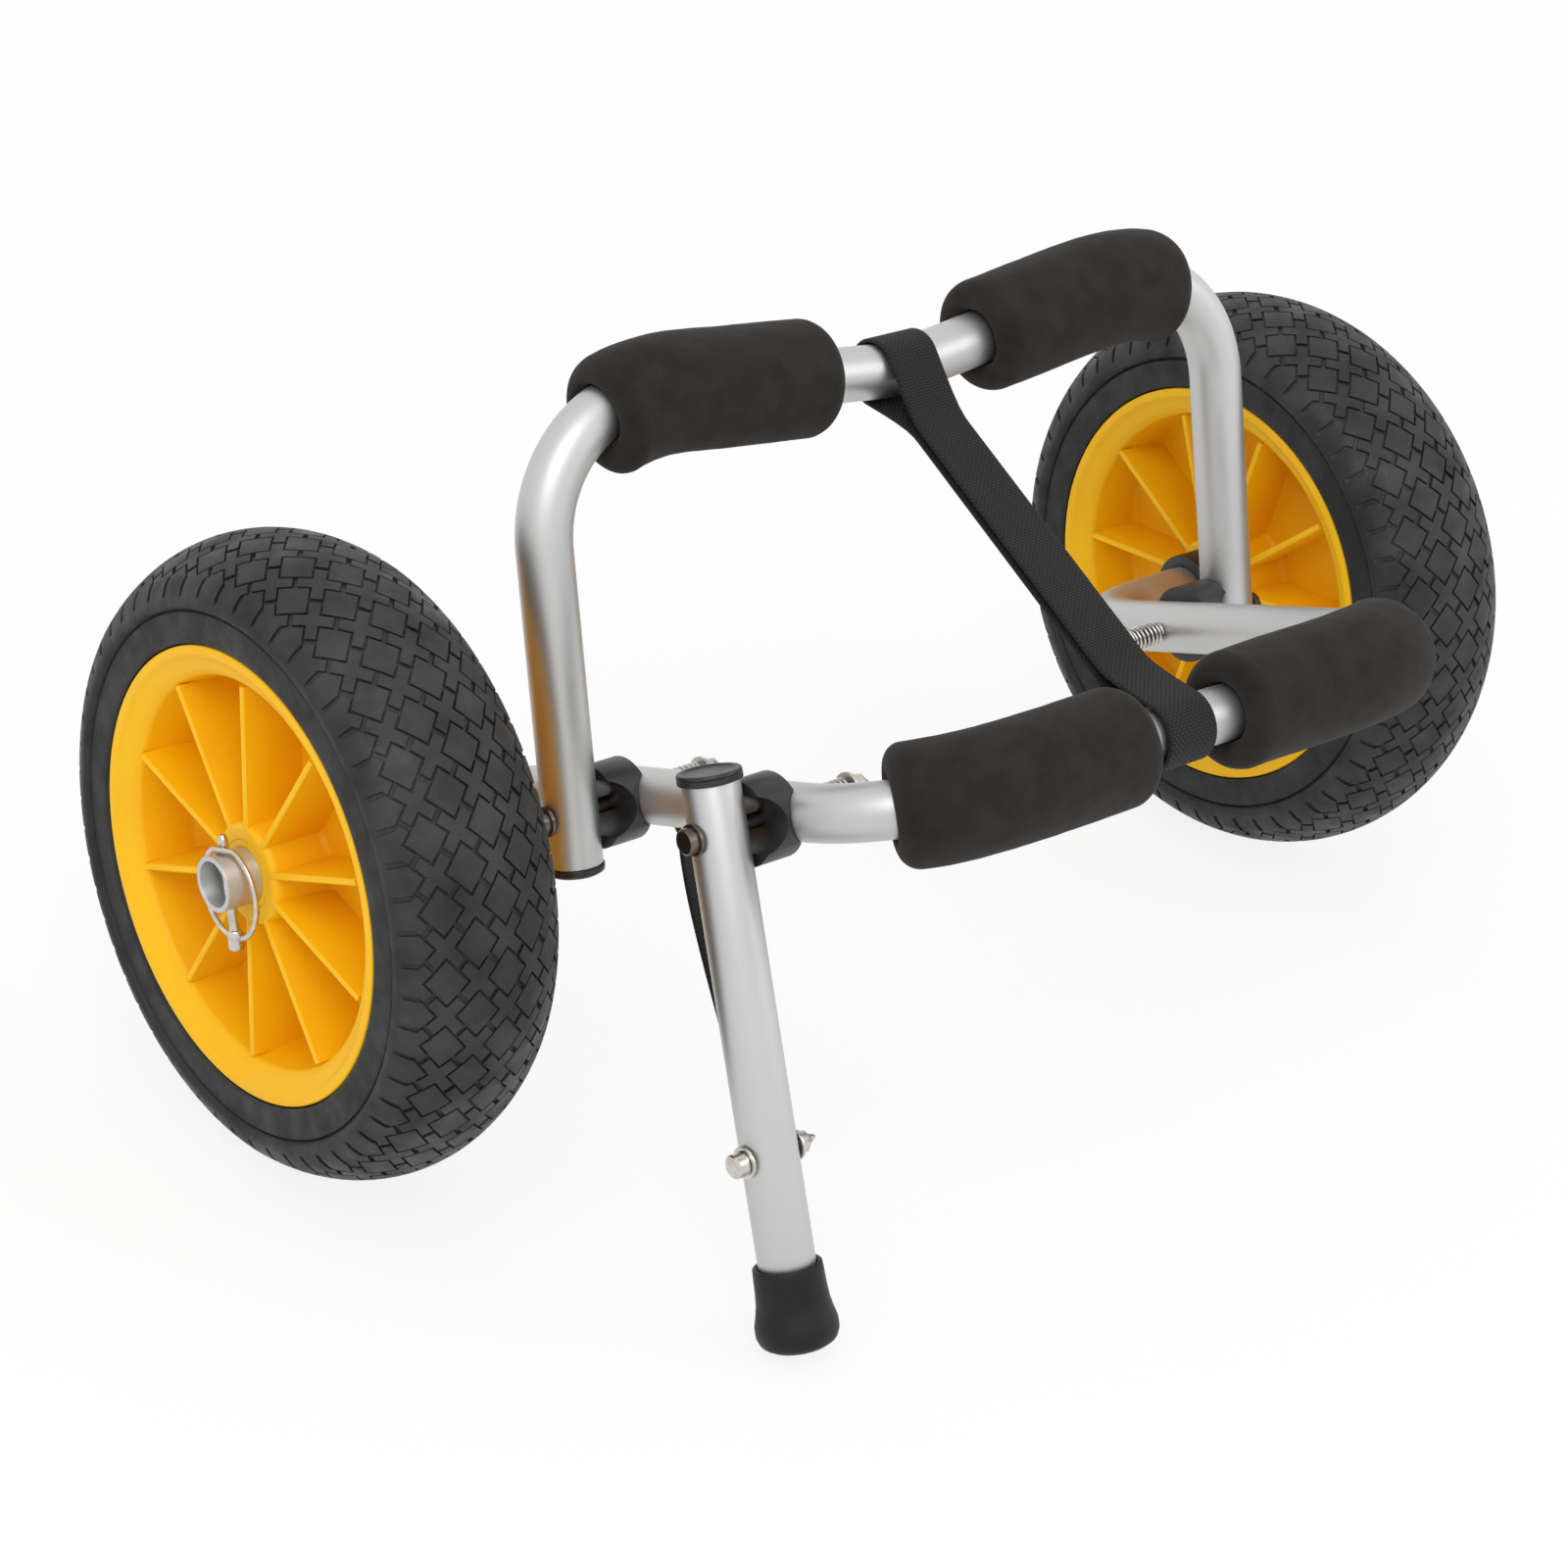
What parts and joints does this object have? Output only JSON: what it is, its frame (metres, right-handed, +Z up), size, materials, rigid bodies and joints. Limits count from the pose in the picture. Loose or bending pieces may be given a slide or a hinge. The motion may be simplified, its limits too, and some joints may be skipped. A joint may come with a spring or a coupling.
{
  "type": "folding kayak cart",
  "caption": "Two-wheeled folding cart that cradles a small boat's hull on foam-padded bent tube frames, with a swinging stand that holds it level for loading.",
  "frame": {"origin": "middle of the bounding box in plan, at ground level", "axes": "+X along the axle towards the wheel without the stand beside it, +Y away from the padded bar of the low frame, +Z up"},
  "size_m": [0.606, 0.3572, 0.3207],
  "materials": {
    "tube": "satin anodised",
    "steel": "plated, half bright",
    "rim_plastic": "moulded, slightly glossy orange-yellow",
    "tyre": "matte foamed rubber with a moulded tread",
    "foam": "matte closed-cell foam",
    "black_plastic": "moulded, satin black",
    "foot_rubber": "matte moulded rubber",
    "webbing": "woven polyester webbing"
  },
  "bodies": {
    "cart": {"lower_frame": "tube", "pad_lower_left": "foam", "pad_lower_right": "foam", "pivot_saddle_left": "black_plastic", "pivot_saddle_right": "black_plastic", "stand_saddle": "black_plastic", "pivot_bolt_left": "steel", "pivot_bolt_right": "steel", "stand_bolt": "steel", "pivot_spring_left": "steel", "pivot_spring_right": "steel", "stand_spring": "steel", "pivot_washer_left": "steel", "pivot_washer_right": "steel", "stand_washer": "steel", "pivot_nut_left": "steel", "pivot_nut_right": "steel", "stand_nut": "steel", "axle_collar_left": "black_plastic", "axle_collar_right": "black_plastic", "lock_pin_left": "steel", "lock_pin_right": "steel", "frame_strap": "webbing", "stand_strap": "webbing"},
    "upper": {"upper_frame": "tube", "pad_upper_left": "foam", "pad_upper_right": "foam", "cap_upper_left": "black_plastic", "cap_upper_right": "black_plastic"},
    "stand": {"stand_tube": "tube", "stand_cap": "black_plastic", "stand_foot": "foot_rubber", "stand_cross_bolt": "steel", "stand_cross_washer": "steel", "stand_cross_head_washer": "steel", "stand_cross_nut": "steel"},
    "wheel_left": {"wheel_left_rim": "rim_plastic", "wheel_left_tyre": "tyre", "wheel_left_bush": "rim_plastic"},
    "wheel_right": {"wheel_right_rim": "rim_plastic", "wheel_right_tyre": "tyre", "wheel_right_bush": "rim_plastic"},
    "ring_left": {"lock_ring_left": "steel"},
    "ring_right": {"lock_ring_right": "steel"}
  },
  "joints": [
    {"name": "wheel_left_spin", "type": "hinge", "parent": "cart", "child": "wheel_left", "pos_m": [-0.259, 0.05219, 0.12646], "axis": [1, 0, 0], "continuous": true},
    {"name": "wheel_right_spin", "type": "hinge", "parent": "cart", "child": "wheel_right", "pos_m": [0.259, 0.05219, 0.12646], "axis": [1, 0, 0], "continuous": true},
    {"name": "frame_fold", "type": "hinge", "parent": "cart", "child": "upper", "pos_m": [0, -0.00392, 0.15039], "axis": [1, 0, 0], "range_deg": [0, 58], "deforming": ["frame_strap"]},
    {"name": "kickstand_swing", "type": "hinge", "parent": "cart", "child": "stand", "pos_m": [-0.179, -0.08854, 0.18649], "axis": [1, 0, 0], "range_deg": [0, 62], "deforming": ["stand_strap"]},
    {"name": "lock_ring_left_swing", "type": "hinge", "parent": "cart", "child": "ring_left", "pos_m": [-0.296, 0.04508, 0.10458], "axis": [0, -0.9511, 0.309], "range_deg": [0, 170]},
    {"name": "lock_ring_right_swing", "type": "hinge", "parent": "cart", "child": "ring_right", "pos_m": [0.296, 0.04508, 0.10458], "axis": [0, 0.9511, -0.309], "range_deg": [0, 170]}
  ]
}
